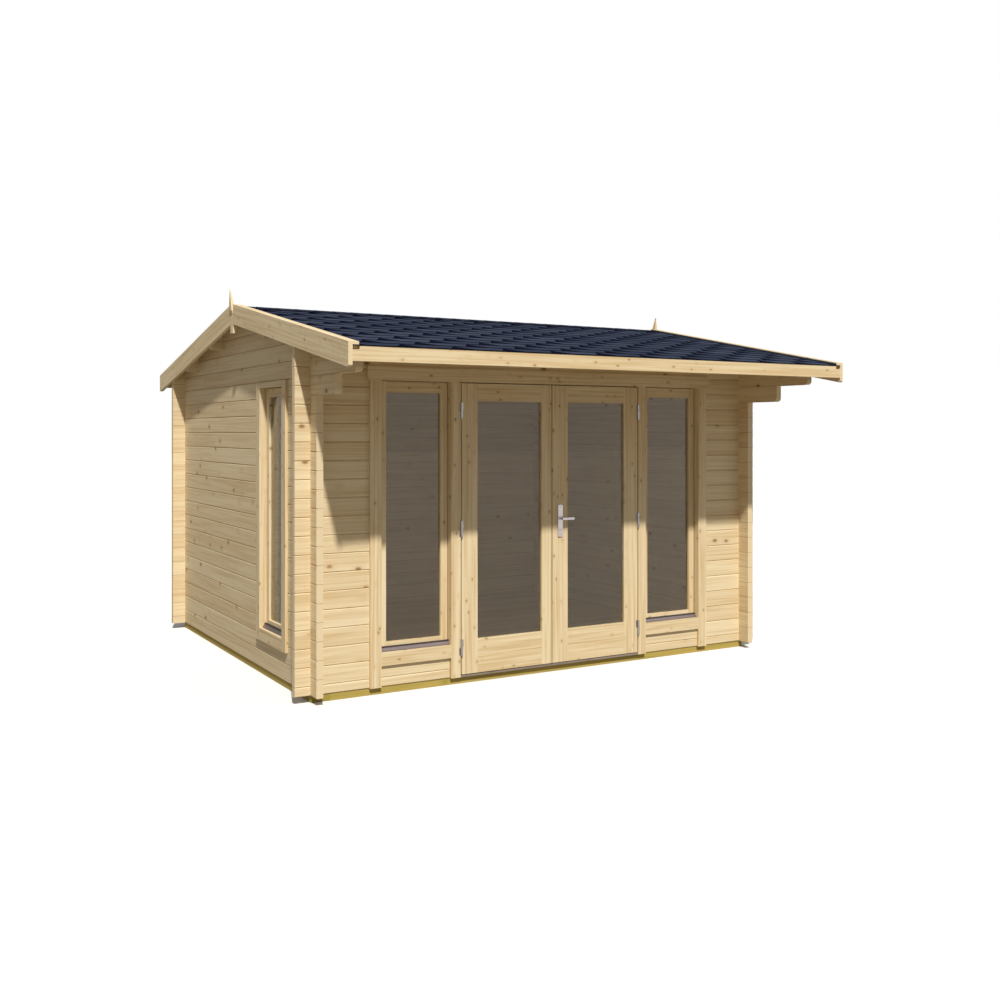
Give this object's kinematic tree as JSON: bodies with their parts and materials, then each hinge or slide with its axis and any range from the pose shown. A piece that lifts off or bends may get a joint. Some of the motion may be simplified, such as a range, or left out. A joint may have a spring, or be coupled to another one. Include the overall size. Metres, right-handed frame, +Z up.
{
  "type": "log cabin",
  "caption": "Garden log cabin of squared interlocking logs, with a low ridge roof carried forward on stepped corbels, glazed double doors that swing outward and tall fixed windows.",
  "frame": {"origin": "on the ground under the middle of the ridge", "axes": "+X along the front to the right, +Y from the doors to the back wall, +Z up"},
  "size_m": [3.742, 4.224, 2.6444],
  "materials": {
    "log_wood": "planed, pale, knotty softwood",
    "bearer_wood": "pressure treated, greenish yellow",
    "floor_wood": "planed softwood boards",
    "roof_wood": "planed softwood",
    "shingle_felt": "dark blue-grey mineral felt",
    "edge_wood": "planed softwood",
    "joinery_wood": "planed softwood",
    "threshold_wood": "dark brown hardwood",
    "pane_glass": "clear",
    "drip_metal": "grey, satin",
    "hinge_steel": "zinc plated",
    "handle_metal": "satin"
  },
  "bodies": {
    "cabin": {"front_wall_odd_logs": "log_wood", "front_wall_even_logs": "log_wood", "back_wall_odd_logs": "log_wood", "back_wall_even_logs": "log_wood", "left_wall_odd_logs": "log_wood", "left_wall_even_logs": "log_wood", "right_wall_odd_logs": "log_wood", "right_wall_even_logs": "log_wood", "long_foundation_beams": "bearer_wood", "cross_foundation_beams": "bearer_wood", "floor_boards": "floor_wood", "ridge_purlin": "roof_wood", "purlins": "roof_wood", "front_roof_deck": "roof_wood", "back_roof_deck": "roof_wood", "front_shingles": "shingle_felt", "back_shingles": "shingle_felt", "left_bargeboards": "edge_wood", "right_bargeboards": "edge_wood", "cap_strips": "edge_wood", "fascias": "edge_wood", "gable_finials": "edge_wood", "door_posts": "joinery_wood", "window_posts": "joinery_wood", "window_heads": "joinery_wood", "window_sills": "joinery_wood", "door_stops": "joinery_wood", "trim_posts": "joinery_wood", "trim_rails": "joinery_wood", "window_sash_stiles": "joinery_wood", "window_sash_rails": "joinery_wood", "threshold": "threshold_wood", "window_glass": "pane_glass", "drip_strips": "drip_metal", "frame_hinges": "hinge_steel"},
    "left_door": {"left_door_stiles": "joinery_wood", "left_door_rails": "joinery_wood", "left_door_glass": "pane_glass", "left_door_hinges": "hinge_steel"},
    "right_door": {"right_door_stiles": "joinery_wood", "right_door_rails": "joinery_wood", "right_door_glass": "pane_glass", "right_door_hinges": "hinge_steel", "handle_plates": "handle_metal"},
    "lever": {"door_lever": "handle_metal"}
  },
  "joints": [
    {"name": "left_door_swing", "type": "hinge", "parent": "cabin", "child": "left_door", "pos_m": [-0.721, -1.2585, 1], "axis": [0, 0, -1], "range_deg": [0, 110]},
    {"name": "right_door_swing", "type": "hinge", "parent": "cabin", "child": "right_door", "pos_m": [0.721, -1.2585, 1], "axis": [0, 0, 1], "range_deg": [0, 110]},
    {"name": "lever_turn", "type": "hinge", "parent": "right_door", "child": "lever", "pos_m": [0.05, -1.23, 1.051], "axis": [0, 1, 0], "range_deg": [0, 40], "stiffness_Nm_per_rad": 2, "springref_deg": -20.05}
  ]
}
